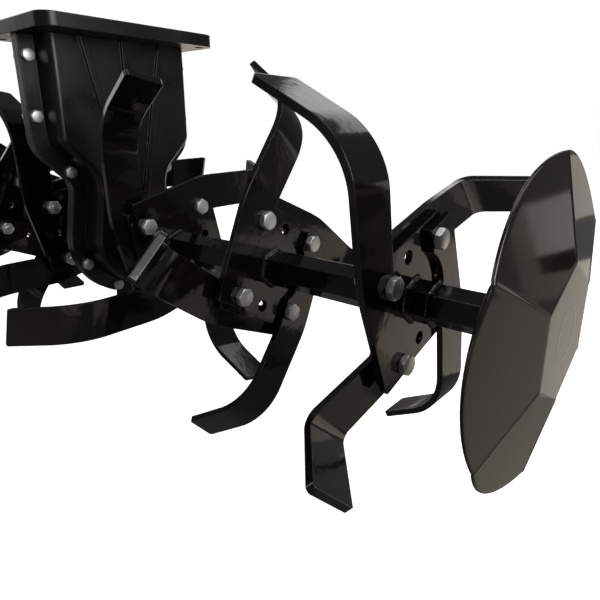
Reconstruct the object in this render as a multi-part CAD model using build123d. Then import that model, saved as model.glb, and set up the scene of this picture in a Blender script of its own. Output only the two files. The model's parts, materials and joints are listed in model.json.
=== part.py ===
"""Tine rotor of a walk-behind rotary tiller, with the drive case that carries it.

The drive case hangs from its flat top flange, where the origin is.  A shaft runs
across the foot of the case, and a half rotor is pinned on each end of it: a hexagon
tube with three square flanges, four bent tines bolted to each flange, and a dished
guard disc on the outer end.  X runs along the shaft, Z is up, and the machine works
towards -Y.  Angles about the shaft are counted from -Y up towards +Z.
"""

import os
from math import cos, isclose, radians, sin, tan
from typing import NamedTuple

from build123d import *

# Shaft and drive case
axis_drop = 250.0  # shaft axis below the top flange's face
shaft_diameter = 30.0
running_gap = 0.05  # between the shaft and the bearing cap, on the radius
case_half_width = 38.0
case_foot_radius = 61.0
case_neck_rise = 78.0  # neck and shoulder above the shaft's axis
case_neck_half_depth = 48.0
case_shoulder_rise = 120.0
case_top_half_depth = 92.0
case_neck_radius = 40.0
case_shoulder_radius = 20.0
case_draft = 4.0
case_edge_radius = 7.0
rib_width = 8.0
rib_height = 3.5
rib_spread = 55.0
seam_flange_width = 17.0
seam_flange_thickness = 7.0
seam_hole_diameter = 8.5
seam_hole_angles = (205.0, 250.0, 290.0, 335.0)  # round the foot
seam_hole_rises = (150.0, 214.0)  # up the sides, above the shaft's axis
seam_flank_share = 0.35  # of the way from neck to shoulder
case_bore = 40.0
cap_radius = 41.0
cap_thickness = 9.0
cap_nose_radius = 27.0
cap_nose_length = 6.0
top_flange_length = 150.0
top_flange_depth = 224.0
top_flange_thickness = 14.0
top_flange_corner = 16.0
top_hole_diameter = 11.0
top_hole_inset = 15.0  # hole centres in from the flange's edges

# Hexagon tubes
tube_across_flats = 32.0
tube_bore_flats = 23.0
plug_clearance = 0.2  # between a hexagon plug and the tube's bore, on the radius
tube_start = 60.0
tube_end_past_flange = 20.0
tube_turn = 9.8
shaft_plug_length = 120.0
stub_across_flats = 30.0
stub_plug_length = 60.0
pin_diameter = 8.0
pin_clearance = 0.15
pin_from_tube_end = 22.0
pin_stick_out = 7.0
pin_head_diameter = 14.0
pin_head_thickness = 4.0

# Tine flanges: outer face of each along the tube, and the angle of its first bolt
flange_faces = (119.0, 280.0, 443.5)
flange_turns = (124.0, 71.2, 24.8)
flange_side = 114.0
flange_thickness = 6.0
flange_corner = 4.0
bolt_circle_radius = 55.0
bolt_hole_diameter = 10.6
spare_hole_diameter = 12.0
spare_hole_radius = 42.0

# Tines: the foot lies along its two bolts, the shank leans in and bends on a slanting line
tine_thickness = 6.0
tine_foot_outer = 68.0  # distance of the foot's edges from the shaft's axis, at the tail
tine_foot_inner = 30.0
tine_relief_radius = 42.0
tine_tail = 50.0
tine_elbow = 54.0
tine_elbow_radius = 140.0
tine_corner = 3.0
tine_bend_sections = 5

# Most tines: a wide bend across the flange
wide_lean = 10.0
wide_shank_outer = 82.0  # distance of the leaning shank's edges from the shaft's axis
wide_shank_inner = 40.0
wide_shank_length = 104.0
wide_bend_slant = 10.0
wide_bend_radius = 58.0
wide_bend_angle = 60.0
wide_tip_inner = 46.0
wide_tip_outer = 48.0

# Tines on the last flange's inner face: a tight bend, creased across the bar
tight_lean = 6.6
tight_shank_outer = 69.5
tight_shank_inner = 27.0
tight_shank_length = 129.5
tight_bend_slant = -36.0
tight_bend_radius = 17.0
tight_bend_angle = 54.0
tight_tip_inner = 66.0
tight_tip_outer = 74.0

# Tine bolts
bolt_diameter = 10.0
bolt_flats = 17.0
bolt_head_height = 7.0
nut_height = 9.0
bolt_stick_out = 4.0

# Guard disc
disc_face = 564.3
disc_radius = 125.5
disc_flat_radius = 53.0
disc_fall = 0.246
disc_sheet = 2.5
disc_turn = 28.0

# Worked out from the above
axis_height = -axis_drop
tube_end = flange_faces[-1] + tube_end_past_flange
cap_face = case_half_width + cap_thickness
cut_margin = 1.0


def around(angle):
    """Unit vector square to the shaft, at an angle counted from -Y towards +Z."""
    return Vector(0, -cos(radians(angle)), sin(radians(angle)))


def across_shaft(x, angle=0.0):
    """Plane square to the shaft, its local X at the given angle."""
    return Plane(origin=(x, 0, axis_height), x_dir=around(angle), z_dir=(1, 0, 0))


def hexagon(flats):
    """Hexagon with a flat facing local X."""
    return RegularPolygon(flats / 2, 6, major_radius=False, rotation=30)


def hexagon_bar(flats, start, end):
    return extrude(across_shaft(start, tube_turn) * hexagon(flats), end - start)


def round_bar(radius, start, end):
    return extrude(across_shaft(start) * Circle(radius), end - start)


def case_outline():
    """Side view of the case: a round foot, a neck, and a wide body run up past the top."""
    foot = Pos(0, axis_height) * Circle(case_foot_radius)
    neck_height = axis_height + case_neck_rise
    shoulder_height = axis_height + case_shoulder_rise
    neck = Line((-case_neck_half_depth, neck_height), (case_neck_half_depth, neck_height))
    leg = make_hull(foot.edges() + neck.edges())
    flank = [(case_neck_half_depth, neck_height), (case_top_half_depth, shoulder_height)]
    right = [*flank, (case_top_half_depth, 0)]
    left = [(-y, z) for y, z in reversed(right)]
    outline = leg + make_face(Polyline(*right, *left, close=True))
    for height, radius in ((neck_height, case_neck_radius), (shoulder_height, case_shoulder_radius)):
        bends = outline.vertices().filter_by(lambda point: isclose(point.Y, height, abs_tol=0.01))
        outline = fillet(bends, radius)
    return outline


def seam_holes():
    """Places of the seam bolts in the side view: round the foot, on the flanks and up the sides."""
    inset = seam_flange_width / 2
    for angle in seam_hole_angles:
        turn = radians(angle)
        radius = case_foot_radius + inset
        yield Pos(radius * cos(turn), axis_height + radius * sin(turn))
    flank = Vector(case_top_half_depth - case_neck_half_depth, case_shoulder_rise - case_neck_rise)
    outward = Vector(flank.Y, -flank.X).normalized() * inset
    spots = [Vector(case_top_half_depth + inset, axis_height + rise) for rise in seam_hole_rises]
    spots.append(Vector(case_neck_half_depth, axis_height + case_neck_rise) + flank * seam_flank_share + outward)
    for spot in spots:
        yield Pos(spot.X, spot.Y)
        yield Pos(-spot.X, spot.Y)


def case_half():
    """Right half of the casting: a drafted, ribbed box with a bolting flange on its seam."""
    seam = Plane(origin=(0, 0, 0), x_dir=(0, 1, 0), z_dir=(1, 0, 0))
    outline = case_outline()
    body = extrude(seam * outline, case_half_width, taper=case_draft)
    body = fillet(body.faces().sort_by(Axis.X)[-1].edges(), case_edge_radius)
    rim = offset(outline, seam_flange_width)
    rim -= [spot * Circle(seam_hole_diameter / 2) for spot in seam_holes()]
    body += extrude(seam * rim, seam_flange_thickness)
    side = seam.offset(case_half_width - rib_height)
    ribs = [Line((0, axis_height), (end, 0)) for end in (-rib_spread, 0, rib_spread)]
    for rib in ribs:
        body += extrude(side * trace(rib, rib_width), 2 * rib_height)
    body += round_bar(cap_radius, 0, case_half_width)
    body -= round_bar(case_bore / 2, 0, case_half_width + rib_height)
    body -= round_bar(cap_radius, case_half_width, case_half_width + rib_height)
    return split(body, Plane.XY.offset(-top_flange_thickness), keep=Keep.BOTTOM)


def bearing_cap():
    """Round cover with a raised nose, bored for the shaft to run in."""
    plate = round_bar(cap_radius, case_half_width, cap_face)
    nose = round_bar(cap_nose_radius, cap_face, cap_face + cap_nose_length)
    bore = round_bar(shaft_diameter / 2 + running_gap, case_half_width, cap_face + cap_nose_length)
    return plate + nose - bore


def top_flange():
    """Flat plate on the case's top, with four bolt holes."""
    plate = RectangleRounded(top_flange_length, top_flange_depth, top_flange_corner)
    spacing = (top_flange_length - 2 * top_hole_inset, top_flange_depth - 2 * top_hole_inset)
    holes = GridLocations(*spacing, 2, 2) * Circle(top_hole_diameter / 2)
    return extrude(Plane.XY.offset(-top_flange_thickness) * (plate - holes), top_flange_thickness)


def pin_place():
    """Frame at the middle of a retaining pin, its Z along the pin."""
    direction = around(tube_turn)
    return Plane(origin=(tube_start + pin_from_tube_end, 0, axis_height), x_dir=(1, 0, 0), z_dir=direction)


def pin_hole():
    span = tube_across_flats + 2 * cut_margin
    radius = pin_diameter / 2 + pin_clearance
    return extrude(pin_place().offset(-span / 2) * Circle(radius), span)


def retaining_pin():
    """Headed pin through the tube and the shaft's plug."""
    half = tube_across_flats / 2
    shank = extrude(pin_place().offset(-half - pin_stick_out) * Circle(pin_diameter / 2), 2 * half + pin_stick_out)
    head = extrude(pin_place().offset(half) * Circle(pin_head_diameter / 2), pin_head_thickness)
    return shank + head


def output_shaft():
    """Round through the case and hexagonal inside each tube, cross-drilled for the pins."""
    middle = round_bar(shaft_diameter / 2, -tube_start, tube_start)
    flats = tube_bore_flats - 2 * plug_clearance
    end = tube_start + shaft_plug_length
    plug = hexagon_bar(flats, tube_start, end) - pin_hole()
    return middle + plug + mirror(plug, Plane.YZ)


def hexagon_tube():
    tube = hexagon_bar(tube_across_flats, tube_start, tube_end)
    return tube - hexagon_bar(tube_bore_flats, tube_start, tube_end) - pin_hole()


def disc_stub():
    """Hexagon bar from the tube to the disc, with a smaller plug inside the tube."""
    flats = tube_bore_flats - 2 * plug_clearance
    plug = hexagon_bar(flats, tube_end - stub_plug_length, tube_end)
    return plug + hexagon_bar(stub_across_flats, tube_end, disc_face - disc_sheet)


def bolt_spots():
    return PolarLocations(bolt_circle_radius, 4)


def tine_flange(face, turn):
    """Square plate with a bolt near each corner and a spare hole at each mid-side."""
    place = across_shaft(face - flange_thickness, turn)
    plate = Rot(0, 0, 45) * RectangleRounded(flange_side, flange_side, flange_corner)
    plate -= bolt_spots() * Circle(bolt_hole_diameter / 2)
    plate -= PolarLocations(spare_hole_radius, 4, start_angle=45) * Circle(spare_hole_diameter / 2)
    bore = hexagon_bar(tube_across_flats, face - flange_thickness, face)
    return extrude(place * plate, flange_thickness) - bore


class TineForm(NamedTuple):
    """Sizes in which the two kinds of tine differ."""

    lean: float
    shank_outer: float
    shank_inner: float
    shank_length: float
    slant: float
    radius: float
    angle: float
    tip_inner: float
    tip_outer: float


def tine_blank(form, bend_foot, bend_head):
    """Plan of the flat part: the foot along the bolts, then the shank leaning in."""
    lean = radians(form.lean)

    def shank_edge(distance):
        """Point on a shank edge, level with the elbow."""
        return Vector(tine_elbow, (distance - tine_elbow * sin(lean)) / cos(lean))

    inner = shank_edge(form.shank_inner)
    outer = shank_edge(form.shank_outer)
    foot = [(-tine_tail, tine_foot_inner), (-tine_tail, tine_foot_outer)]
    plan = make_face(Polyline(*foot, outer, bend_head, bend_foot, inner, close=True))
    corners = plan.vertices()
    plan = fillet([corners.sort_by_distance(point)[0] for point in (inner, outer)], tine_elbow_radius)
    plan = fillet(plan.vertices().group_by(Axis.X)[0], tine_corner)
    lead = bolt_circle_radius * cos(radians(45))
    plan -= Circle(tine_relief_radius)
    plan -= Pos(lead, lead) * Circle(bolt_hole_diameter / 2)
    return plan - Pos(-lead, lead) * Circle(bolt_hole_diameter / 2)


def tine(form):
    """Flat bar bent up towards +Z: local X along the foot, local Y away from the shaft.

    The foot lies under the XY plane, its two bolts 90 degrees apart about the origin.  The
    bend follows a screw: each section turns about the slanting bend line and slides along it.
    """
    slant = radians(form.slant)
    shank = Plane(origin=(0, 0, 0), x_dir=Vector(1, 0, 0).rotate(Axis.Z, -form.lean), z_dir=(0, 0, 1))
    line = Vector(0, 1, 0).rotate(Axis.Z, -form.lean - form.slant)
    square = Vector(1, 0, 0).rotate(Axis.Z, -form.lean - form.slant)
    up = Vector(0, 0, 1)
    length = (form.shank_outer - form.shank_inner) / cos(slant)
    start = shank.from_local_coords(Vector(form.shank_length, form.shank_inner, 0))
    slide = tan(slant) * (form.radius + tine_thickness / 2)

    def section(share):
        """Frame across the bar: origin on the inner edge, local X along the bend line."""
        turn = radians(form.angle) * share
        across = square * sin(turn) + up * (1 - cos(turn))
        ahead = square * cos(turn) + up * sin(turn)
        return Plane(origin=start + across * form.radius + line * slide * turn, x_dir=line, z_dir=ahead)

    shares = [step / (tine_bend_sections - 1) for step in range(tine_bend_sections)]
    cut = Pos(length / 2, -tine_thickness / 2) * Rectangle(length, tine_thickness)
    bend = loft([section(share) * cut for share in shares])

    last = section(1)
    tip_plane = Plane(origin=last.origin, x_dir=last.z_dir, z_dir=last.y_dir)
    along = Vector(cos(slant), sin(slant))
    ends = (along * form.tip_inner, Vector(0, length) + along * form.tip_outer)
    tip_plan = make_face(Polyline((0, 0), *ends, (0, length), close=True))
    tip_plan = fillet(tip_plan.vertices().sort_by(Axis.X)[-2:], tine_corner)
    flat = extrude(tine_blank(form, start, start + line * length), -tine_thickness)
    return flat + bend + extrude(tip_plane * tip_plan, -tine_thickness)


def tine_places(face, turn):
    """Lead-bolt angle of each tine round a flange, and the face it is bolted to.

    Alternate tines sit on the outer and inner faces, and each bends across the flange.
    """
    for step in range(4):
        on_outer = step % 2 == 0
        height = face if on_outer else face - flange_thickness
        yield step + 1, across_shaft(height, turn + 90 * step + 45), on_outer


def tine_bolts():
    """Hexagon bolts and nuts through each flange and the two tines that share the bolt."""
    bolts = []
    for face, turn in zip(flange_faces, flange_turns):
        head_face = face + tine_thickness
        nut_face = face - flange_thickness - tine_thickness
        end = nut_face - nut_height - bolt_stick_out
        bolt = extrude(Circle(bolt_diameter / 2), head_face - end)
        bolt += Pos(0, 0, head_face - end) * extrude(hexagon(bolt_flats), bolt_head_height)
        bolt += Pos(0, 0, bolt_stick_out) * extrude(hexagon(bolt_flats), nut_height)
        bolts += [across_shaft(end, turn) * spot * bolt for spot in bolt_spots()]
    return Compound(children=bolts)


def guard_disc():
    """Six-sided dished sheet, trimmed round, its flat face outwards."""
    wide = disc_radius + 4 * disc_sheet
    flat = disc_flat_radius * cos(radians(30))
    fall = disc_fall * (wide - flat)
    crown = across_shaft(disc_face, disc_turn + 30) * hexagon(2 * flat)
    base = across_shaft(disc_face - fall, disc_turn + 30) * hexagon(2 * wide)
    dish = loft([base, crown])
    sheet = dish - Pos(-disc_sheet, 0, 0) * dish
    return sheet & round_bar(disc_radius, disc_face - 2 * fall, disc_face + cut_margin)


def half_rotor():
    """The pieces of the right half rotor, by name."""
    pieces = {
        "hex_tube": hexagon_tube(),
        "disc_stub": disc_stub(),
        "guard_disc": guard_disc(),
        "retaining_pin": retaining_pin(),
        "tine_bolts": tine_bolts(),
    }
    wide_form = TineForm(
        wide_lean, wide_shank_outer, wide_shank_inner, wide_shank_length,
        wide_bend_slant, wide_bend_radius, wide_bend_angle, wide_tip_inner, wide_tip_outer,
    )
    tight_form = TineForm(
        tight_lean, tight_shank_outer, tight_shank_inner, tight_shank_length,
        tight_bend_slant, tight_bend_radius, tight_bend_angle, tight_tip_inner, tight_tip_outer,
    )
    wide = tine(wide_form)
    tight = tine(tight_form)
    for number, (face, turn) in enumerate(zip(flange_faces, flange_turns), start=1):
        pieces[f"tine_flange_{number}"] = tine_flange(face, turn)
        for step, place, on_outer in tine_places(face, turn):
            inner = tight if number == len(flange_faces) else wide
            pieces[f"tine_{number}_{step}"] = place * (mirror(wide, Plane.XY) if on_outer else inner)
    return pieces


def main():
    nodes = {"top_flange": top_flange(), "output_shaft": output_shaft()}
    right = {"case_half": case_half(), "bearing_cap": bearing_cap(), **half_rotor()}
    for name, piece in right.items():
        nodes[name + "_right"] = piece
        nodes[name + "_left"] = mirror(piece, Plane.YZ)
    os.makedirs("parts", exist_ok=True)
    for name, piece in nodes.items():
        export_step(piece, f"parts/{name}.step")


main()
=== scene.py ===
"""Looks of a tiller's tine rotor: paint, weld beads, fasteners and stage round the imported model."""

import json
from collections import namedtuple
from math import cos, pi, radians, tan

import bmesh
import bpy
import numpy as np
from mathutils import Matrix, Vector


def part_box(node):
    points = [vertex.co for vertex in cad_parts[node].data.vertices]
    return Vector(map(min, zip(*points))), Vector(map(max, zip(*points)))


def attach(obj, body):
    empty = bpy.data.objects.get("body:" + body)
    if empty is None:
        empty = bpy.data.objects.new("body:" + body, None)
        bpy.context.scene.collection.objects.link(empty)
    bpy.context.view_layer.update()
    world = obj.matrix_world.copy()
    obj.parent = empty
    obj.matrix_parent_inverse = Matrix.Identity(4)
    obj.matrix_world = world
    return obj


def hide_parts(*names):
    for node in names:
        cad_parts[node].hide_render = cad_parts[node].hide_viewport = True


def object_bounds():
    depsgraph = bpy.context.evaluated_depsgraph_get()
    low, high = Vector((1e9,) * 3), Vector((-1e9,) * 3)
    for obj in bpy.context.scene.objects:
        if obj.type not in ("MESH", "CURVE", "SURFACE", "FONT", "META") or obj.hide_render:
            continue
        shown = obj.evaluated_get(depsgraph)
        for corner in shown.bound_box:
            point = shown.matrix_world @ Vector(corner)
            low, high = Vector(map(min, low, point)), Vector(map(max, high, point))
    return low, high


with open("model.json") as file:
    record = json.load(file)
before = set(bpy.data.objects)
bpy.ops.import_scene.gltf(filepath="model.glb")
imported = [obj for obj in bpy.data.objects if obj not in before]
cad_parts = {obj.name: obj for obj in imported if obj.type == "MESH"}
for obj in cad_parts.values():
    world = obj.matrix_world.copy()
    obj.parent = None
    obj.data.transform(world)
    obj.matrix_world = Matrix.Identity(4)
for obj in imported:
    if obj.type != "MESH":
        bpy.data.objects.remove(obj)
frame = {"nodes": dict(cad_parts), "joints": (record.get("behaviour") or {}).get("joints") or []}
CAD_BOX = [list(corner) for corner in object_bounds()]

bl_info = {
    "name": "Tine Rotor Dresser",
    "version": (1, 0, 0),
    "blender": (4, 5, 0),
    "location": "View3D > Sidebar > Rotor",
    "description": "Paints a tiller's tine rotor and adds its weld beads, fasteners and seals",
    "category": "Object",
}

MM = 0.001
AXIS_Z = frame["joints"][0]["pos_m"][2]
LOWEST = CAD_BOX[0][2]
FLOOR_Z = LOWEST - 2 * MM
SIDES = {"right": 1.0, "left": -1.0}
FLANGES = (1, 2, 3)

# Turns in degrees from -Y towards +Z: each flange's first bolt, a flat of the tubes, a crease of the discs.
FLANGE_TURNS = (124.0, 71.2, 24.8)
TUBE_TURN = 9.8
DISC_TURN = 28.0

# Seam bolts: degrees round the foot, heights up the sides in metres, and a share of the way up the flanks.
SEAM_ANGLES = (205.0, 250.0, 290.0, 335.0)
SEAM_RISES = (0.150, 0.214)
SEAM_FLANK_SHARE = 0.35

# A bolt's sizes in metres: thread radius, width across flats, heights, thread past the nut, pitch.
Bolt = namedtuple("Bolt", "radius flats head nut stick_out pitch")

# Softboxes: the setting that holds the brightness, then place, point faced, width and depth in metres.
Lamp = namedtuple("Lamp", "setting place aim width depth")
RIGHT_HALF = (0.4, 0.0, -0.2)
MIDDLE = (0.0, 0.0, AXIS_Z)
LAMPS = {
    "key_softbox": Lamp("key", (0.95, 0.32, 1.16), RIGHT_HALF, 0.7, 0.7),
    "strip_light": Lamp("strip", (0.2, 1.12, 0.62), RIGHT_HALF, 0.8, 0.32),
    "window": Lamp("window", (1.39, 0.70, 0.68), RIGHT_HALF, 0.6, 0.25),
    "low_pane": Lamp("pane", (1.55, 1.62, -0.167), (1.55, 0.0, -0.167), 0.24, 0.21),
    "front_softbox": Lamp("front", (1.4, -0.1, 0.13), RIGHT_HALF, 0.8, 0.46),
    "overhead_fill": Lamp("fill", (0.0, 0.0, 2.2), MIDDLE, 1.3, 1.2),
    "left_fill": Lamp("fill", (-2.2, 0.0, 0.5), MIDDLE, 1.6, 1.2),
    "right_fill": Lamp("fill", (2.4, 0.0, 0.95), MIDDLE, 1.3, 0.9),
    "front_fill": Lamp("fill", (0.0, -1.9, 1.6), MIDDLE, 1.8, 0.8),
    "back_fill": Lamp("fill", (-1.2, 2.0, 0.8), MIDDLE, 1.4, 0.8),
}

# Cards that lie on the floor and only gloss shows: brightness beside the card setting, and corners.
Card = namedtuple("Card", "share corners")
CARDS = {
    "right_card": Card(1.1, (
        (0.63, 0.28), (1.2, 0.6), (1.15, 0.95), (0.95, 1.2), (0.9, 1.62), (0.5, 1.62), (0.5, 0.28),
    )),
    "disc_card": Card(0.75, ((0.63, -0.15), (0.95, -0.15), (1.2, 0.6), (0.63, 0.28))),
    "near_card": Card(0.42, (
        (0.53, 0.0), (0.63, 0.0), (0.63, 0.28), (0.6, 0.28), (0.595, 0.17), (0.53, 0.15),
    )),
    "left_card": Card(2.0, ((-3.0, 0.0), (-0.62, 0.0), (-0.62, 2.5), (-3.0, 2.5))),
    "left_front_card": Card(0.5, ((-3.0, -2.5), (-0.62, -2.5), (-0.62, 0.0), (-3.0, 0.0))),
    "front_card": Card(0.3, ((-0.6, -2.5), (1.0, -2.5), (1.0, -0.6), (-0.6, -0.6))),
    "right_front_card": Card(1.5, ((1.0, -2.5), (2.8, -2.5), (2.8, -0.6), (1.0, -0.6))),
    "back_card": Card(2.0, (
        (-0.62, 0.25), (-0.02, 0.25), (-0.02, 0.8), (0.28, 0.8), (0.28, 2.5), (-0.62, 2.5),
    )),
}

# Boards that stand far behind and only gloss shows: brightness, how far back, reach across, and rise.
Board = namedtuple("Board", "share back across rise")
BOARDS = {
    "board": Board(0.5, 1.64, (1.25, 1.78), (0.0, 0.408)),
    "dark_bar": Board(0.0, 1.62, (1.43, 1.67), (0.105, 0.186)),
    "far_pane": Board(0.75, 1.64, (0.5, 0.8), (0.14, 0.36)),
}


def linear(hex_code):
    """sRGB hex text to linear red, green and blue."""
    channels = np.array([int(hex_code[i:i + 2], 16) for i in (1, 3, 5)]) / 255
    low = channels / 12.92
    high = ((channels + 0.055) / 1.055) ** 2.4
    return tuple(np.where(channels <= 0.04045, low, high))


def length(name, description, millimetres):
    """A length that a user may change, in metres, from its size in millimetres."""
    return bpy.props.FloatProperty(
        name=name, description=description, default=millimetres * MM, unit="LENGTH", precision=4
    )


def colour(name, description, hex_code):
    """A colour that a user may change, from its sRGB hex value."""
    return bpy.props.FloatVectorProperty(
        name=name, description=description, default=linear(hex_code), subtype="COLOR", size=3, min=0, max=1
    )


def number(name, description, value):
    """A plain number that a user may change."""
    return bpy.props.FloatProperty(name=name, description=description, default=value)


class FinishSettings(bpy.types.PropertyGroup):
    """Colours of the paint, plating and bare metal."""

    enamel: colour("Enamel", "Black stoving enamel on tines, flanges and tubes", "#0B0B0A")
    enamel_thin: colour("Enamel, thin", "Enamel where the film is thinner", "#131210")
    # Lighter edge tone: a painted highlight along edges, together with the enamel drawn thin there.
    enamel_thin_edge_and_highlight: colour("Enamel, edges", "Enamel drawn thin over sharp edges", "#3A3935")
    disc: colour("Disc coat", "Black powder coat on the guard discs", "#141310")
    disc_thin: colour("Disc coat, thin", "Powder coat where it is thinner", "#1C1A16")
    casting: colour("Casting paint", "Black paint on the cast drive case", "#0A0A0A")
    casting_thin: colour("Casting paint, thin", "Paint over the casting's high grains", "#141413")
    zinc: colour("Zinc", "Bright zinc plating on bolts and nuts", "#E2E4E5")
    zinc_warm: colour("Zinc, warm", "Plating where its passivation shows", "#D2CEC2")
    steel: colour("Steel", "Turned steel of the output shaft", "#8E8C88")
    rubber: colour("Rubber", "Black rubber of the shaft seals", "#161616")


class FastenerSettings(bpy.types.PropertyGroup):
    """Sizes of the bolts, screws and clips."""

    bolt_radius: length("Bolt radius", "Half the tine bolt's thread diameter", 5.0)
    bolt_flats: length("Across flats", "Width of the tine bolt's head and nut", 17.0)
    head_height: length("Head height", "Height of the tine bolt's head", 7.0)
    nut_height: length("Nut height", "Height of the tine bolt's nut", 9.0)
    stick_out: length("Stick-out", "Thread that shows past the nut", 4.0)
    pitch: length("Pitch", "Thread pitch, drawn coarser than the real 1.5 mm so that it shows", 1.6)
    circle: length("Bolt circle", "Radius that the tine bolts stand on", 55.0)
    tine: length("Tine thickness", "Thickness of a tine under each head and nut", 6.0)
    seam_radius: length("Seam bolt radius", "Half the seam bolt's thread diameter", 4.0)
    seam_flats: length("Seam bolt flats", "Width of the seam bolt's head and nut", 13.0)
    seam_head: length("Seam bolt head", "Height of the seam bolt's head", 5.3)
    seam_nut: length("Seam bolt nut", "Height of the seam bolt's nut", 6.5)
    seam_stick_out: length("Seam bolt stick-out", "Thread that shows past the seam bolt's nut", 3.0)
    screw_radius: length("Cap screw radius", "Half the cap screw's thread diameter", 3.0)
    screw_flats: length("Cap screw flats", "Width of the cap screw's head", 10.0)
    screw_head: length("Cap screw head", "Height of the cap screw's head", 4.0)
    screw_grip: length("Cap screw grip", "Depth that a cap screw reaches into its cap", 4.0)
    screw_circle: length("Cap screw circle", "Radius that the cap screws stand on", 34.0)
    wire: length("Clip wire", "Half the diameter of the pin clip's wire", 1.2)


class CaseSettings(bpy.types.PropertyGroup):
    """Sizes of the drive case that its bolts and seals are placed by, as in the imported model."""

    foot_radius: length("Foot radius", "Radius of the case's round foot", 61.0)
    seam_width: length("Seam width", "Width of the seam flange round the case", 17.0)
    seam_thickness: length("Seam thickness", "Thickness of one half's seam flange", 7.0)
    neck_rise: length("Neck rise", "Height of the neck above the shaft", 78.0)
    neck_half: length("Neck half depth", "Half the case's depth at its neck", 48.0)
    shoulder_rise: length("Shoulder rise", "Height of the shoulder above the shaft", 120.0)
    top_half: length("Top half depth", "Half the case's depth at its top", 92.0)
    cap_plate: length("Cap plate", "Outer face of the bearing cap's plate along the shaft", 47.0)
    cap_end: length("Cap end", "End of the bearing cap's nose along the shaft", 53.0)
    shaft_radius: length("Shaft radius", "Half the output shaft's diameter", 15.0)
    seal_radius: length("Seal radius", "Outer radius of the shaft seal's lip", 21.0)
    seal_height: length("Seal height", "How far the shaft seal stands out of the cap", 3.0)


class WeldSettings(bpy.types.PropertyGroup):
    """Sizes of the weld beads and of the hexagons that they run round."""

    tube_flats: length("Tube flats", "Width of the hexagon tube across its flats", 32.0)
    stub_flats: length("Stub flats", "Width of the disc's stub across its flats", 30.0)
    leg: length("Bead leg", "Width of a weld bead on each of its two faces", 4.0)
    ripple: length("Bead ripple", "Height of the ripples along a weld bead", 0.22)
    step: length("Ripple step", "Distance from ripple to ripple", 2.6)


class DiscSettings(bpy.types.PropertyGroup):
    """Sizes of the guard disc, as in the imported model, and of its rounded creases."""

    radius: length("Radius", "Outer radius of the disc", 125.5)
    crown: length("Crown", "Distance from the disc's centre to a corner of its flat crown", 53.0)
    fall: number("Fall", "Slope of the six facets away from the crown", 0.246)
    sheet: length("Sheet", "Thickness of the pressed sheet, along the shaft", 2.5)
    face: length("Face", "Place of the crown along the shaft", 564.3)
    crease: length("Crease", "Half width of a pressed crease's rounding", 0.7)
    ridge: length("Ridge", "Height of the fine ridge that the press leaves along each crease", 0.5)
    ring: length("Ring", "Radius of the faint ring that the weld behind draws on the crown", 19.0)


class StageSettings(bpy.types.PropertyGroup):
    """Camera, paper, walls, cards and lamps."""

    lens: number("Lens", "Focal length on a 36 mm sensor, in mm", 31.73)
    place: bpy.props.FloatVectorProperty(
        name="Camera place", description="Where the photograph was taken from",
        default=(0.64806, -0.38763, -0.10939), subtype="TRANSLATION",
    )
    tilt: bpy.props.FloatProperty(
        name="Tilt", description="Camera's angle from straight down", default=radians(71.73), subtype="ANGLE"
    )
    swing: bpy.props.FloatProperty(
        name="Swing", description="Camera's turn about the vertical", default=radians(40.63), subtype="ANGLE"
    )
    paper: colour("Paper", "White studio paper", "#F4F4F2")
    glow: number("Paper glow", "Even light on the paper from lamps below and behind it", 1.0)
    backdrop: number("Backdrop", "Brightness of the white walls far behind", 1.0)
    room: number("Room", "Brightness of the room's even light", 0.1)
    key: number("Key", "Brightness of the overhead softbox", 1.6)
    strip: number("Strip", "Brightness of the strip light behind the tines", 1.4)
    window: number("Window", "Brightness of the window to the right", 2.4)
    card: number("Card", "Brightness that each card and board has its share of", 0.62)
    card_colour: colour("Card colour", "Warm white of the cards and boards", "#FFF5E6")
    pane: number("Pane", "Brightness of the low pane in front of the board", 0.42)
    front: number("Front", "Brightness of the softbox beside the camera", 5.5)
    fill: number("Fill", "Brightness of the large softboxes round the machine's other sides", 1.8)


def settings(group):
    """One group of the scene's settings, by its name."""
    return getattr(bpy.context.scene, group)


def add(tree, kind, inputs=(), **attributes):
    """A node of one kind, with its attributes set and its inputs given as values or linked sockets."""
    node = tree.nodes.new(kind)
    for name, value in attributes.items():
        setattr(node, name, value)
    for name, value in dict(inputs).items():
        if isinstance(value, bpy.types.NodeSocket):
            tree.links.new(value, node.inputs[name])
        else:
            node.inputs[name].default_value = value
    return node


def rgba(rgb):
    """A colour with full alpha, as sockets take it."""
    return (*rgb, 1.0)


def per_metre(millimetres):
    """Noise scale for features of the given size."""
    return 1.0 / (millimetres * MM)


def new_material(name):
    """An empty material and its node tree."""
    made = bpy.data.materials.new(name)
    made.use_nodes = True
    made.node_tree.nodes.clear()
    return made, made.node_tree


def finish_material(tree, inputs):
    """The principled shader with its inputs, joined to the material's output."""
    shader = add(tree, "ShaderNodeBsdfPrincipled", inputs)
    add(tree, "ShaderNodeOutputMaterial", {"Surface": shader.outputs["BSDF"]})


def edge_share(tree, rounded):
    """How much of an edge each point is: how far the rounded normal turns from the face's own."""
    flat = add(tree, "ShaderNodeNewGeometry").outputs["True Normal"]
    along = add(tree, "ShaderNodeVectorMath", {0: rounded, 1: flat}, operation="DOT_PRODUCT").outputs["Value"]
    turned_away = {"Value": along, "From Min": 0.97, "From Max": 0.8}
    return add(tree, "ShaderNodeMapRange", turned_away).outputs["Result"]


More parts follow.
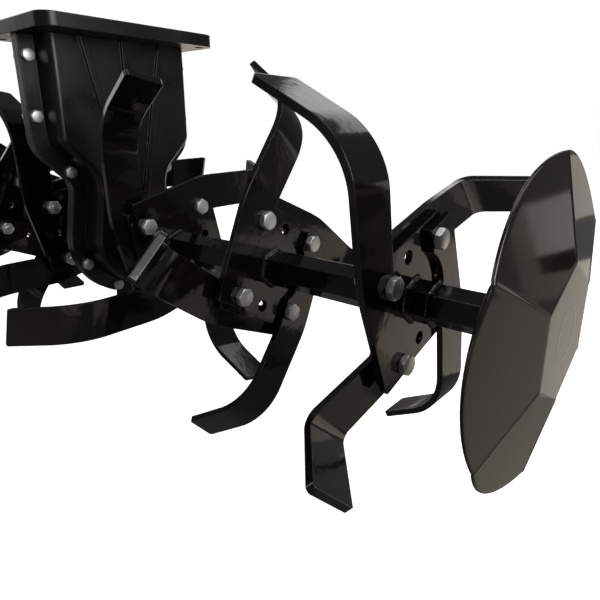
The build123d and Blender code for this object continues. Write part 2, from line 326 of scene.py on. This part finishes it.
def painted(name, tones, gloss, grain, wave, edge_mm):
    """Sprayed paint over steel.

    Two close tones in cloudy patches, and a third, lighter tone in patches along the edges, which is a
    painted highlight there as well as film drawn thin; a fine peel of the given size and depth in mm; and the
    slower waves of the rolled or cast metal below.
    """
    made, tree = new_material(name)
    place = add(tree, "ShaderNodeTexCoord").outputs["Object"]
    cloud_mm, edge_patch_mm = 35.0, 7.0
    cloud, edge_patch, slow, fine = (
        add(
            tree, "ShaderNodeTexNoise", {"Vector": place, "Scale": per_metre(size), "Detail": detail}
        ).outputs["Fac"]
        for size, detail in ((cloud_mm, 4.0), (edge_patch_mm, 3.0), (wave[0], 1.0), (grain[0], 2.0))
    )
    normal = add(tree, "ShaderNodeBevel", {"Radius": edge_mm * MM}, samples=6).outputs["Normal"]
    edge = edge_share(tree, normal)
    # Painted highlight: in patches along edges the paint takes the lighter edge tone, where the film is also
    # thin.
    edge_highlight_share = add(tree, "ShaderNodeMath", {0: edge, 1: edge_patch}, operation="MULTIPLY").outputs["Value"]
    body = {0: cloud, 6: rgba(tones[0]), 7: rgba(tones[1])}
    body = add(tree, "ShaderNodeMix", body, data_type="RGBA").outputs[2]
    tone = add(tree, "ShaderNodeMix", {0: edge_highlight_share, 6: body, 7: rgba(tones[2])}, data_type="RGBA").outputs[2]
    rough = {"Value": cloud, "From Min": 0.3, "From Max": 0.7, "To Min": gloss[0], "To Max": gloss[1]}
    rough = add(tree, "ShaderNodeMapRange", rough).outputs["Result"]
    for height, depth_mm in ((slow, wave[1]), (fine, grain[1])):
        relief = {"Height": height, "Distance": depth_mm * MM, "Normal": normal}
        normal = add(tree, "ShaderNodeBump", relief).outputs["Normal"]
    finish_material(tree, {"Base Color": tone, "Roughness": rough, "Normal": normal, "IOR": 1.5})
    return made


def plated(name, cool, warm, gloss, ring_mm=None):
    """Plated or turned steel: a bright metal with warm patches where the passivation is thicker.

    Turned steel has the rings that the tool leaves, at the given distance, and plated steel a fine grain.
    """
    made, tree = new_material(name)
    place = add(tree, "ShaderNodeTexCoord").outputs["Object"]
    patch_mm, grain_mm, depth_mm, edge_mm = 9.0, 1.2, 0.02, 0.4
    cloud = {"Vector": place, "Scale": per_metre(patch_mm), "Detail": 3.0}
    cloud = add(tree, "ShaderNodeTexNoise", cloud).outputs["Fac"]
    patch = {"Value": cloud, "From Min": 0.5, "From Max": 0.75}
    patch = add(tree, "ShaderNodeMapRange", patch).outputs["Result"]
    tone = add(tree, "ShaderNodeMix", {0: patch, 6: rgba(cool), 7: rgba(warm)}, data_type="RGBA").outputs[2]
    if ring_mm is None:
        height = {"Vector": place, "Scale": per_metre(grain_mm), "Detail": 2.0}
        height = add(tree, "ShaderNodeTexNoise", height).outputs["Fac"]
    else:
        # At scale 1 a wave texture turns by 20 radians a unit.
        height = {"Vector": place, "Scale": per_metre(ring_mm) * 2 * pi / 20, "Distortion": 0.4}
        height = add(tree, "ShaderNodeTexWave", height, bands_direction="X").outputs["Fac"]
    rough = {"Value": cloud, "From Min": 0.3, "From Max": 0.7, "To Min": gloss[0], "To Max": gloss[1]}
    rough = add(tree, "ShaderNodeMapRange", rough).outputs["Result"]
    normal = add(tree, "ShaderNodeBevel", {"Radius": edge_mm * MM}, samples=6).outputs["Normal"]
    relief = {"Height": height, "Distance": depth_mm * MM, "Normal": normal}
    normal = add(tree, "ShaderNodeBump", relief).outputs["Normal"]
    finish_material(tree, {"Base Color": tone, "Roughness": rough, "Normal": normal, "Metallic": 1.0})
    return made


def make_materials():
    """One material for each finish, named for what the real one is."""
    coat = settings("rotor_finish")
    # The third tone of each paint is a painted highlight along the edges, besides the thinner film there.
    black = (coat.enamel, coat.enamel_thin, coat.enamel_thin_edge_and_highlight)
    # Stoving enamel sprayed on rolled bar: black and glossy, a faint peel over the bar's slow waves.
    painted("stoving_enamel", black, (0.06, 0.13), (2.4, 0.008), (10.0, 0.13), 1.3)
    # Powder coat on pressed sheet: black with a brown cast, a softer gloss and a coarser peel.
    powder = (coat.disc, coat.disc_thin, coat.enamel_thin_edge_and_highlight)
    painted("powder_coat", powder, (0.06, 0.09), (2.8, 0.006), (40.0, 0.10), 0.9)
    # Paint over a sand casting: the sand's grit shows through and breaks up the gloss.
    casting = (coat.casting, coat.casting_thin, coat.enamel_thin_edge_and_highlight)
    painted("painted_casting", casting, (0.24, 0.38), (1.5, 0.04), (14.0, 0.12), 1.6)
    # Bright zinc plate on cold-formed bolts and wire.
    plated("zinc_plate", coat.zinc, coat.zinc_warm, (0.42, 0.55))
    # Turned steel, oiled; the tool's rings are drawn 3.77 mm apart, which is coarse, so that they show.
    plated("turned_steel", coat.steel, coat.steel, (0.28, 0.42), 3.77)
    # Moulded nitrile rubber: matt black.
    painted("nitrile_rubber", (coat.rubber,) * 3, (0.55, 0.7), (1.0, 0.02), (9.0, 0.02), 0.4)


def grid_faces(rows, columns, looped):
    """Quads of a grid that closes round its columns, and over its rows if looped, as corner numbers."""
    row, column = np.meshgrid(np.arange(rows if looped else rows - 1), np.arange(columns), indexing="ij")
    here, after = row * columns, (row + 1) % rows * columns
    beside = (column + 1) % columns
    return np.stack((here + column, here + beside, after + beside, after + column), axis=-1).reshape(-1, 4)


def mesh_object(name, shells, finish, body, smooth_angle=35.0):
    """One piece from several grids of points, each closed round its columns and marked as looped or not."""
    starts = np.cumsum([0] + [shell.shape[0] * shell.shape[1] for shell, looped in shells])
    points = np.concatenate([shell.reshape(-1, 3) for shell, looped in shells])
    faces = np.concatenate(
        [grid_faces(*shell.shape[:2], looped) + start for (shell, looped), start in zip(shells, starts)]
    )
    mesh = bpy.data.meshes.new(name)
    mesh.from_pydata(points.tolist(), [], faces.tolist())
    work = bmesh.new()
    work.from_mesh(mesh)
    bmesh.ops.remove_doubles(work, verts=work.verts, dist=MM / 1000)
    bmesh.ops.recalc_face_normals(work, faces=work.faces)
    work.to_mesh(mesh)
    work.free()
    mesh.shade_smooth()
    mesh.set_sharp_from_angle(angle=radians(smooth_angle))
    mesh.materials.append(bpy.data.materials[finish])
    piece = bpy.data.objects.new(name, mesh)
    bpy.context.scene.collection.objects.link(piece)
    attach(piece, body)
    return piece


def around(angle):
    """Unit vectors square to the shaft, for angles in degrees counted from -Y towards +Z."""
    turn = np.radians(angle)
    return np.stack((np.zeros_like(turn), -np.cos(turn), np.sin(turn)), axis=-1)


def on_axis(x):
    """Point on the shaft's axis."""
    return np.array((x, 0.0, AXIS_Z))


def hexagon_radius(flats, angle):
    """Distance from a hexagon's centre to its outline.

    It is half the width across flats over the cosine of the angle from the nearest flat.
    """
    return flats / 2 / np.cos((angle + pi / 6) % (pi / 3) - pi / 6)


def turned(heights, radii, angle, origin, axis, first):
    """Surface about an axis.

    Each point is its height along the axis plus its radius in the direction that its angle turns to.
    """
    second = np.cross(axis, first)
    direction = np.cos(angle)[None, :, None] * first + np.sin(angle)[None, :, None] * second
    return origin + heights[:, None, None] * axis + radii[:, :, None] * direction


def prism_form(flats, angle, start, end):
    """Heights and radii of a hexagon whose ends are cut by a 30 degree cone, which rounds off its corners.

    The cone starts from a circle just inside the flats.
    """
    circle = 0.47 * flats
    steps = np.array([0.0, 0.02, 0.06, 0.12, 0.18, 0.5, 0.82, 0.88, 0.94, 0.98, 1.0])
    room = np.minimum(steps, 1 - steps) * abs(end - start)
    cone = circle + room[:, None] / tan(radians(30))
    return start + (end - start) * steps, np.minimum(hexagon_radius(flats, angle)[None, :], cone)


def bolt_form(bolt, grip):
    """Heights and radii of a bolt and its nut, from the head's crown at the top to the thread's end.

    Past the nut the radius falls and rises with the height less the turn, which is a screw thread.
    With no nut the bolt is a screw, and ends at its grip.
    """
    angle = np.linspace(0, 2 * pi, 48, endpoint=False)
    even = np.ones((1, len(angle)))
    thread_rows, thread_depth, point = 14, 0.055, 0.8
    head, head_radius = prism_form(bolt.flats, angle, bolt.head, 0.0)
    heights = [[bolt.head], head, [0.0, -grip]]
    radii = [0 * even, head_radius, bolt.radius * even, bolt.radius * even]
    end = -grip
    if bolt.nut:
        nut, nut_radius = prism_form(bolt.flats, angle, -grip, -grip - bolt.nut)
        end = -grip - bolt.nut - bolt.stick_out
        thread = np.linspace(nut[-1], end + 0.2 * bolt.pitch, thread_rows)
        wave = np.cos(2 * pi * thread[:, None] / bolt.pitch - angle[None, :])
        heights += [nut, thread]
        radii += [nut_radius, bolt.radius * (1 - thread_depth + thread_depth * wave)]
    heights += [[end], [end]]
    radii += [point * bolt.radius * even, 0 * even]
    return np.concatenate(heights), np.concatenate(radii), angle


class ROTOR_OT_paint(bpy.types.Operator):
    """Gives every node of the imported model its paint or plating"""

    bl_idname = "rotor.paint"
    bl_label = "Paint the nodes"

    def execute(self, context):
        make_materials()
        finishes = (
            (("case_half", "top_flange", "bearing_cap"), "painted_casting"),
            (("guard_disc",), "powder_coat"),
            (("retaining_pin", "tine_bolts"), "zinc_plate"),
            (("output_shaft",), "turned_steel"),
        )
        for name, node in frame["nodes"].items():
            finish = next((paint for starts, paint in finishes if name.startswith(starts)), "stoving_enamel")
            node.data.materials.clear()
            node.data.materials.append(bpy.data.materials[finish])
        return {"FINISHED"}


class ROTOR_OT_tine_bolts(bpy.types.Operator):
    """Makes the bolts and nuts that hold the tines, with chamfered corners and threads"""

    bl_idname = "rotor.tine_bolts"
    bl_label = "Tine bolts"

    def execute(self, context):
        size = settings("rotor_fasteners")
        bolt = Bolt(
            size.bolt_radius, size.bolt_flats, size.head_height, size.nut_height, size.stick_out, size.pitch
        )
        for side, hand in SIDES.items():
            axis = np.array((hand, 0.0, 0.0))
            shells = []
            for flange, turn in zip(FLANGES, FLANGE_TURNS):
                low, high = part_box(f"tine_flange_{flange}_{side}")
                form = bolt_form(bolt, high[0] - low[0] + 2 * size.tine)
                seat = (high[0] if hand > 0 else low[0]) + hand * size.tine
                for out in around(turn + 90.0 * np.arange(4)):
                    shells.append((turned(*form, on_axis(seat) + out * size.circle, axis, out), False))
            piece = mesh_object(f"bolts_and_nuts_{side}", shells, "zinc_plate", "rotor")
            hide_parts(f"tine_bolts_{side}")
        return {"FINISHED"}


class ROTOR_OT_weld_beads(bpy.types.Operator):
    """Lays rippled weld beads round the tube at each flange, and round the stub at the tube and the disc"""

    bl_idname = "rotor.weld_beads"
    bl_label = "Weld beads"

    def bead(self, size, flats, face, facing):
        """Closed ring: a bulging three-cornered section carried round a hexagon with softened corners.

        Its corner stays on the line where the two pieces meet, sunk a little into both.  Its outer side
        bulges by a sine, and rises and falls with the distance along the path, tipped across the bead.
        Two slow sines of the angle make the bead wider and narrower.
        """
        angle = np.linspace(0, 2 * pi, 360, endpoint=False)
        softened, depth_sunk, bulge_share, lean = 4, 0.6 * MM, 0.1, 0.7
        path = hexagon_radius(flats, angle)
        shifts = range(-softened, softened + 1)
        path = sum(np.roll(path, shift) for shift in shifts) / len(shifts)
        travelled = np.cumsum(np.hypot(np.gradient(path), path * (angle[1] - angle[0])))
        across = np.linspace(0, 1, 9)
        phase = 2 * pi * travelled[:, None] / size.step + 1.5 * np.cos(pi * across)[None, :]
        swell = size.leg * (1 + 0.07 * np.sin(5 * angle + 1.0) + 0.04 * np.sin(13 * angle))[:, None]
        bulge = np.sin(pi * across)[None, :] * (bulge_share * swell + size.ripple * np.sin(phase / 2) ** 2)
        sunk = np.full((len(angle), 1), -depth_sunk)
        out = np.concatenate((swell * (1 - across)[None, :] + lean * bulge, sunk), axis=1)
        along = np.concatenate((swell * across[None, :] + lean * bulge, sunk), axis=1)
        direction = around(TUBE_TURN + np.degrees(angle))
        points = (path[:, None] + out)[:, :, None] * direction[:, None, :]
        points[:, :, 0] += face + facing * along
        points[:, :, 2] += AXIS_Z
        return points, True

    def execute(self, context):
        size = settings("rotor_welds")
        for side, hand in SIDES.items():
            rings = []
            for flange in FLANGES:
                low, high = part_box(f"tine_flange_{flange}_{side}")
                rings.append(self.bead(size, size.tube_flats, low[0], -1.0))
                rings.append(self.bead(size, size.tube_flats, high[0], 1.0))
            end = max(abs(corner[0]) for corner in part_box(f"hex_tube_{side}"))
            stub = max(abs(corner[0]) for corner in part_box(f"disc_stub_{side}"))
            rings.append(self.bead(size, size.stub_flats, hand * end, hand))
            rings.append(self.bead(size, size.stub_flats, hand * stub, -hand))
            mesh_object(f"weld_beads_{side}", rings, "stoving_enamel", "rotor", 50.0)
        return {"FINISHED"}


class ROTOR_OT_guard_discs(bpy.types.Operator):
    """Presses the guard discs, with rounded creases and a rounded rim"""

    bl_idname = "rotor.guard_discs"
    bl_label = "Guard discs"

    def dish(self, size, radius, angle):
        """Depth behind the crown.

        Six facets each fall with the distance past the crown's edge, along their own direction.  The
        deepest facet counts, but as the logarithm of summed exponentials, which rounds each crease.
        Where the two deepest facets come close, a bell curve of their difference raises a fine ridge.
        A shallower bell curve of the radius gives the ring over the weld.
        """
        ring_share = 0.18
        facets = DISC_TURN + 30.0 + 60.0 * np.arange(6)
        reach = np.sort(radius[..., None] * np.cos(np.radians(angle[..., None] - facets)), axis=-1)
        deepest, second = reach[..., -1], reach[..., -2]
        rounded = deepest + size.crease * np.log1p(np.exp((second - deepest) / size.crease))
        past = (rounded - size.crown * cos(radians(30))) / size.crease
        ridge = size.ridge * np.exp(-(((deepest - second) / (2 * size.crease)) ** 2)) / (1 + np.exp(-past))
        ring = ring_share * size.ridge * np.exp(-(((radius - size.ring) / (3 * size.crease)) ** 2))
        return size.fall * size.crease * np.logaddexp(0.0, past) - ridge - ring

    def execute(self, context):
        size = settings("rotor_disc")
        half = size.sheet / 2
        # Columns crowd together at the six creases, and rows at the crown's edge.
        crowding, margin = 0.85, 0.03
        share = np.linspace(0, 6, 240, endpoint=False)
        turn = DISC_TURN + 60.0 * (share - crowding * np.sin(2 * pi * share) / (2 * pi))
        bend = np.linspace(0, pi, 9)[1:-1]
        inner = size.radius - half
        crown = size.crown * np.array((cos(radians(30)) - margin, 1 + margin))
        run = np.concatenate((
            np.linspace(0, crown[0], 40, endpoint=False),
            np.linspace(*crown, 24, endpoint=False),
            np.linspace(crown[1], inner, 24),
        ))
        # Out along the front skin, round the rim and back along the rear skin.
        radius = np.concatenate((run, inner + half * np.sin(bend), run[::-1]))
        back = np.concatenate((0 * run, half - half * np.cos(bend), 0 * run + size.sheet))
        radius, angle = np.meshgrid(radius, turn, indexing="ij")
        depth = self.dish(size, radius, angle) + back[:, None]
        direction = around(angle)
        for side, hand in SIDES.items():
            points = radius[..., None] * direction + on_axis(0.0)
            points[..., 0] = hand * (size.face - depth)
            shells = [(points, False)]
            piece = mesh_object(f"pressed_disc_{side}", shells, "powder_coat", "rotor", 60.0)
            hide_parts(f"guard_disc_{side}")
        return {"FINISHED"}


class ROTOR_OT_case_bolts(bpy.types.Operator):
    """Bolts the two halves of the drive case together round their seam"""

    bl_idname = "rotor.case_bolts"
    bl_label = "Case bolts"

    def places(self, case):
        """Depth and height of each bolt: round the foot, on the flanks and up both sides."""
        middle = case.seam_width / 2
        turn = np.radians(SEAM_ANGLES)
        foot = (case.foot_radius + middle) * np.stack((np.cos(turn), np.sin(turn)), axis=-1)
        flank = np.array((case.top_half - case.neck_half, case.shoulder_rise - case.neck_rise))
        outward = np.array((flank[1], -flank[0])) / np.hypot(*flank) * middle
        spots = [(case.top_half + middle, rise) for rise in SEAM_RISES]
        spots.append(np.array((case.neck_half, case.neck_rise)) + SEAM_FLANK_SHARE * flank + outward)
        spots = np.array(spots)
        return np.concatenate((foot, spots, spots * (-1, 1)))

    def execute(self, context):
        size = settings("rotor_fasteners")
        case = settings("rotor_case")
        bolt = Bolt(
            size.seam_radius, size.seam_flats, size.seam_head, size.seam_nut, size.seam_stick_out, size.pitch
        )
        form = bolt_form(bolt, 2 * case.seam_thickness)
        axis = np.array((1.0, 0.0, 0.0))
        # Each head is tightened to a turn of its own, in degrees.
        head_turn = 40.0
        shells = []
        for place, (y, z) in enumerate(self.places(case)):
            origin = on_axis(case.seam_thickness) + np.array((0, y, z))
            shells.append((turned(*form, origin, axis, around(head_turn * place)), False))
        mesh_object("case_bolts", shells, "zinc_plate", "drive_case")
        return {"FINISHED"}


class ROTOR_OT_cap_screws(bpy.types.Operator):
    """Sets six hexagon screws in each bearing cap"""

    bl_idname = "rotor.cap_screws"
    bl_label = "Cap screws"

    def execute(self, context):
        size = settings("rotor_fasteners")
        case = settings("rotor_case")
        screw = Bolt(size.screw_radius, size.screw_flats, size.screw_head, 0.0, 0.0, size.pitch)
        form = bolt_form(screw, size.screw_grip)
        # Six screws a cap, each head tightened to a turn of its own, in degrees.
        first, head_turn = 30.0, 25.0
        shells = []
        for hand in SIDES.values():
            axis = np.array((hand, 0.0, 0.0))
            for place, out in enumerate(around(first + 60.0 * np.arange(6))):
                origin = on_axis(hand * case.cap_plate) + out * size.screw_circle
                shells.append((turned(*form, origin, axis, around(head_turn * place)), False))
        mesh_object("cap_screws", shells, "zinc_plate", "drive_case")
        return {"FINISHED"}


class ROTOR_OT_shaft_seals(bpy.types.Operator):
    """Fits a rubber seal round the shaft at each bearing cap"""

    bl_idname = "rotor.shaft_seals"
    bl_label = "Shaft seals"

    def execute(self, context):
        case = settings("rotor_case")
        angle = np.linspace(0, 2 * pi, 96, endpoint=False)
        gap = 0.15 * MM
        width = case.seal_radius - case.shaft_radius - gap
        # Section of the lip: a flat back on the cap, a rounded shoulder, and a groove beside the shaft.
        across = np.array([0.0, 1.0, 1.0, 0.94, 0.8, 0.62, 0.5, 0.36, 0.2, 0.08, 0.0])
        rise = np.array([0.0, 0.0, 0.5, 0.78, 0.95, 0.9, 0.45, 0.4, 0.75, 1.0, 0.9])
        radii = (case.shaft_radius + gap + width * across)[:, None] * np.ones_like(angle)
        heights = case.seal_height * rise
        shells = []
        for hand in SIDES.values():
            axis = np.array((hand, 0.0, 0.0))
            origin = on_axis(hand * case.cap_end)
            shells.append((turned(heights, radii, angle, origin, axis, around(0.0)), True))
        mesh_object("shaft_seals", shells, "nitrile_rubber", "drive_case")
        return {"FINISHED"}


class ROTOR_OT_pin_clips(bpy.types.Operator):
    """Hooks a wire clip through the end of each retaining pin"""

    bl_idname = "rotor.pin_clips"
    bl_label = "Pin clips"

    def execute(self, context):
        size = settings("rotor_fasteners")
        # A straight leg through the pin, a round eye, and a second leg that hugs the pin and flares, in mm.
        tail, reach, eye_radius, hug, flare, out_mm = 13, 15, 3.5, 5.4, 1.6, 19.6
        leg = np.linspace(-tail, reach, 15)
        eye = np.linspace(-pi / 2, pi / 2, 17)[1:-1]
        along = np.concatenate((leg, reach + eye_radius * np.cos(eye), leg[::-1])) * MM
        second_leg = hug + flare * (leg[::-1] / reach) ** 2
        beside = np.concatenate((0 * leg, eye_radius + eye_radius * np.sin(eye), second_leg)) * MM
        heading = np.stack((np.gradient(along), np.gradient(beside)), axis=-1)
        heading /= np.linalg.norm(heading, axis=-1, keepdims=True)
        turn = np.linspace(0, 2 * pi, 12, endpoint=False)
        radius = np.concatenate(([0.0], np.full(len(along), size.wire), [0.0]))
        along, beside = np.pad(along, 1, mode="edge"), np.pad(beside, 1, mode="edge")
        heading = np.pad(heading, ((1, 1), (0, 0)), mode="edge")
        wide = radius[:, None] * np.cos(turn)
        for side, hand in SIDES.items():
            low, high = (np.array(corner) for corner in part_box(f"retaining_pin_{side}"))
            pin = around(TUBE_TURN)
            tube = np.array((hand, 0.0, 0.0))
            square = np.cross(pin, tube)
            centre = on_axis((low[0] + high[0]) / 2) - pin * out_mm * MM
            points = (
                centre
                + (along[:, None] - wide * heading[:, 1:])[..., None] * tube
                + (beside[:, None] + wide * heading[:, :1])[..., None] * square
                + (radius[:, None] * np.sin(turn))[..., None] * pin
            )
            mesh_object(f"pin_clip_{side}", [(points, False)], "zinc_plate", "rotor")
        return {"FINISHED"}


class ROTOR_OT_stage(bpy.types.Operator):
    """Sets up the paper, walls, cards, lamps and camera"""

    bl_idname = "rotor.stage"
    bl_label = "Stage"

    def lamp(self, name, lamp, brightness):
        """Softbox of a given brightness: its power is the brightness times pi times its area."""
        data = bpy.data.lights.new(name, "AREA")
        data.shape = "RECTANGLE"
        data.size = lamp.width
        data.size_y = lamp.depth
        data.energy = brightness * pi * lamp.width * lamp.depth
        softbox = bpy.data.objects.new(name, data)
        softbox.location = lamp.place
        softbox.visible_camera = False
        direction = Vector(lamp.aim) - Vector(lamp.place)
        softbox.rotation_euler = direction.to_track_quat("-Z", "Y").to_euler()
        bpy.context.scene.collection.objects.link(softbox)

    def sheet(self, name, points, material, seen_by_camera, seen_in_gloss):
        """One piece of the stage from a grid of points, closed round its columns."""
        mesh = bpy.data.meshes.new(name)
        mesh.from_pydata(points.reshape(-1, 3).tolist(), [], grid_faces(*points.shape[:2], False).tolist())
        mesh.materials.append(material)
        piece = bpy.data.objects.new(name, mesh)
        piece.visible_camera = seen_by_camera
        piece.visible_glossy = seen_in_gloss
        piece.visible_diffuse = False
        piece.visible_shadow = False
        bpy.context.scene.collection.objects.link(piece)

    def glow(self, name, tint, brightness):
        """Plain light of one colour, as a lit wall or card gives."""
        made, tree = new_material(name)
        shine = add(tree, "ShaderNodeEmission", {"Color": rgba(tint), "Strength": brightness})
        add(tree, "ShaderNodeOutputMaterial", {"Surface": shine.outputs["Emission"]})
        return made

    def reflector(self, stage, name, share, corners):
        """Lit sheet that only gloss shows, as a fan of triangles from the middle of its corners."""
        corners = np.array(corners) + (0.0, 0.0, FLOOR_Z + 1 * MM)
        middle = np.repeat(corners.mean(axis=0)[None], len(corners), axis=0)
        lit = self.glow(f"lit_{name}", stage.card_colour, stage.card * share)
        self.sheet(name, np.stack((middle, corners)), lit, False, True)

    def execute(self, context):
        stage = settings("rotor_stage")
        turn = np.linspace(0, 2 * pi, 96, endpoint=False)
        ring = np.stack((np.cos(turn), np.sin(turn), 0 * turn), axis=-1)
        paper_radius, wall_radius = 30.0, 29.0

        # Matt paper on the floor, lit evenly from below as well, so that it shows nearly white.
        paper, tree = new_material("matt_paper")
        place = add(tree, "ShaderNodeTexCoord").outputs["Object"]
        tooth_mm, depth_mm = 4.0, 0.1
        tooth = {"Vector": place, "Scale": per_metre(tooth_mm), "Detail": 3.0}
        tooth = add(tree, "ShaderNodeTexNoise", tooth).outputs["Fac"]
        relief = {"Height": tooth, "Strength": 0.2, "Distance": depth_mm * MM}
        skin = add(tree, "ShaderNodeBump", relief).outputs["Normal"]
        finish_material(tree, {
            "Base Color": rgba(stage.paper), "Roughness": 0.9, "Normal": skin,
            "Emission Color": rgba(stage.paper), "Emission Strength": stage.glow,
        })
        reach = np.concatenate(([0.0], np.geomspace(0.3, paper_radius, 12)))
        self.sheet("studio_paper", reach[:, None, None] * ring + (0, 0, FLOOR_Z), paper, True, False)

        # White walls far behind, as a dome.
        rise = np.linspace(0, pi / 2, 12)
        dome = wall_radius * np.cos(rise)[:, None, None] * ring
        dome[..., 2] = FLOOR_Z + wall_radius * np.sin(rise)[:, None]
        self.sheet("studio_wall", dome, self.glow("lit_wall", (1.0, 1.0, 1.0), stage.backdrop), True, False)

        for name, card in CARDS.items():
            self.reflector(stage, name, card.share, [(x, y, 0.0) for x, y in card.corners])
        for name, board in BOARDS.items():
            (near, far), (low, high) = board.across, board.rise
            corners = [(near, low), (far, low), (far, high), (near, high)]
            self.reflector(stage, name, board.share, [(x, board.back, z) for x, z in corners])
        for name, lamp in LAMPS.items():
            self.lamp(name, lamp, getattr(stage, lamp.setting))

        world = bpy.data.worlds.new("room")
        world.use_nodes = True
        world.node_tree.nodes["Background"].inputs["Color"].default_value = (1.0, 1.0, 1.0, 1.0)
        world.node_tree.nodes["Background"].inputs["Strength"].default_value = stage.room
        context.scene.world = world

        context.scene.view_settings.view_transform = "Standard"
        camera = bpy.data.objects.new("camera", bpy.data.cameras.new("camera"))
        camera.data.sensor_width = 36.0
        camera.data.lens = stage.lens
        camera.data.clip_start = 0.01
        camera.data.clip_end = 100.0
        camera.location = stage.place
        camera.rotation_euler = (stage.tilt, 0.0, stage.swing)
        context.scene.collection.objects.link(camera)
        context.scene.camera = camera
        return {"FINISHED"}


class ROTOR_PT_panel(bpy.types.Panel):
    """Sidebar list of the steps and of the sizes and colours they use"""

    bl_idname = "ROTOR_PT_panel"
    bl_label = "Tine rotor"
    bl_space_type = "VIEW_3D"
    bl_region_type = "UI"
    bl_category = "Rotor"

    def draw(self, context):
        for step in STEPS:
            self.layout.operator(step.bl_idname)
        for group, kind in GROUPS.items():
            box = self.layout.box()
            for name in kind.__annotations__:
                box.prop(settings(group), name)


GROUPS = {
    "rotor_finish": FinishSettings,
    "rotor_fasteners": FastenerSettings,
    "rotor_case": CaseSettings,
    "rotor_welds": WeldSettings,
    "rotor_disc": DiscSettings,
    "rotor_stage": StageSettings,
}
STEPS = (
    ROTOR_OT_paint, ROTOR_OT_tine_bolts, ROTOR_OT_weld_beads, ROTOR_OT_guard_discs, ROTOR_OT_case_bolts,
    ROTOR_OT_cap_screws, ROTOR_OT_shaft_seals, ROTOR_OT_pin_clips, ROTOR_OT_stage,
)


def register():
    for kind in (*GROUPS.values(), *STEPS, ROTOR_PT_panel):
        bpy.utils.register_class(kind)
    for name, kind in GROUPS.items():
        setattr(bpy.types.Scene, name, bpy.props.PointerProperty(type=kind))


def unregister():
    for name in GROUPS:
        delattr(bpy.types.Scene, name)
    for kind in (ROTOR_PT_panel, *reversed(STEPS), *GROUPS.values()):
        bpy.utils.unregister_class(kind)


def main():
    register()
    bpy.ops.rotor.paint()
    bpy.ops.rotor.tine_bolts()
    bpy.ops.rotor.weld_beads()
    bpy.ops.rotor.guard_discs()
    bpy.ops.rotor.case_bolts()
    bpy.ops.rotor.cap_screws()
    bpy.ops.rotor.shaft_seals()
    bpy.ops.rotor.pin_clips()
    bpy.ops.rotor.stage()


if __name__ == "__main__":
    main()
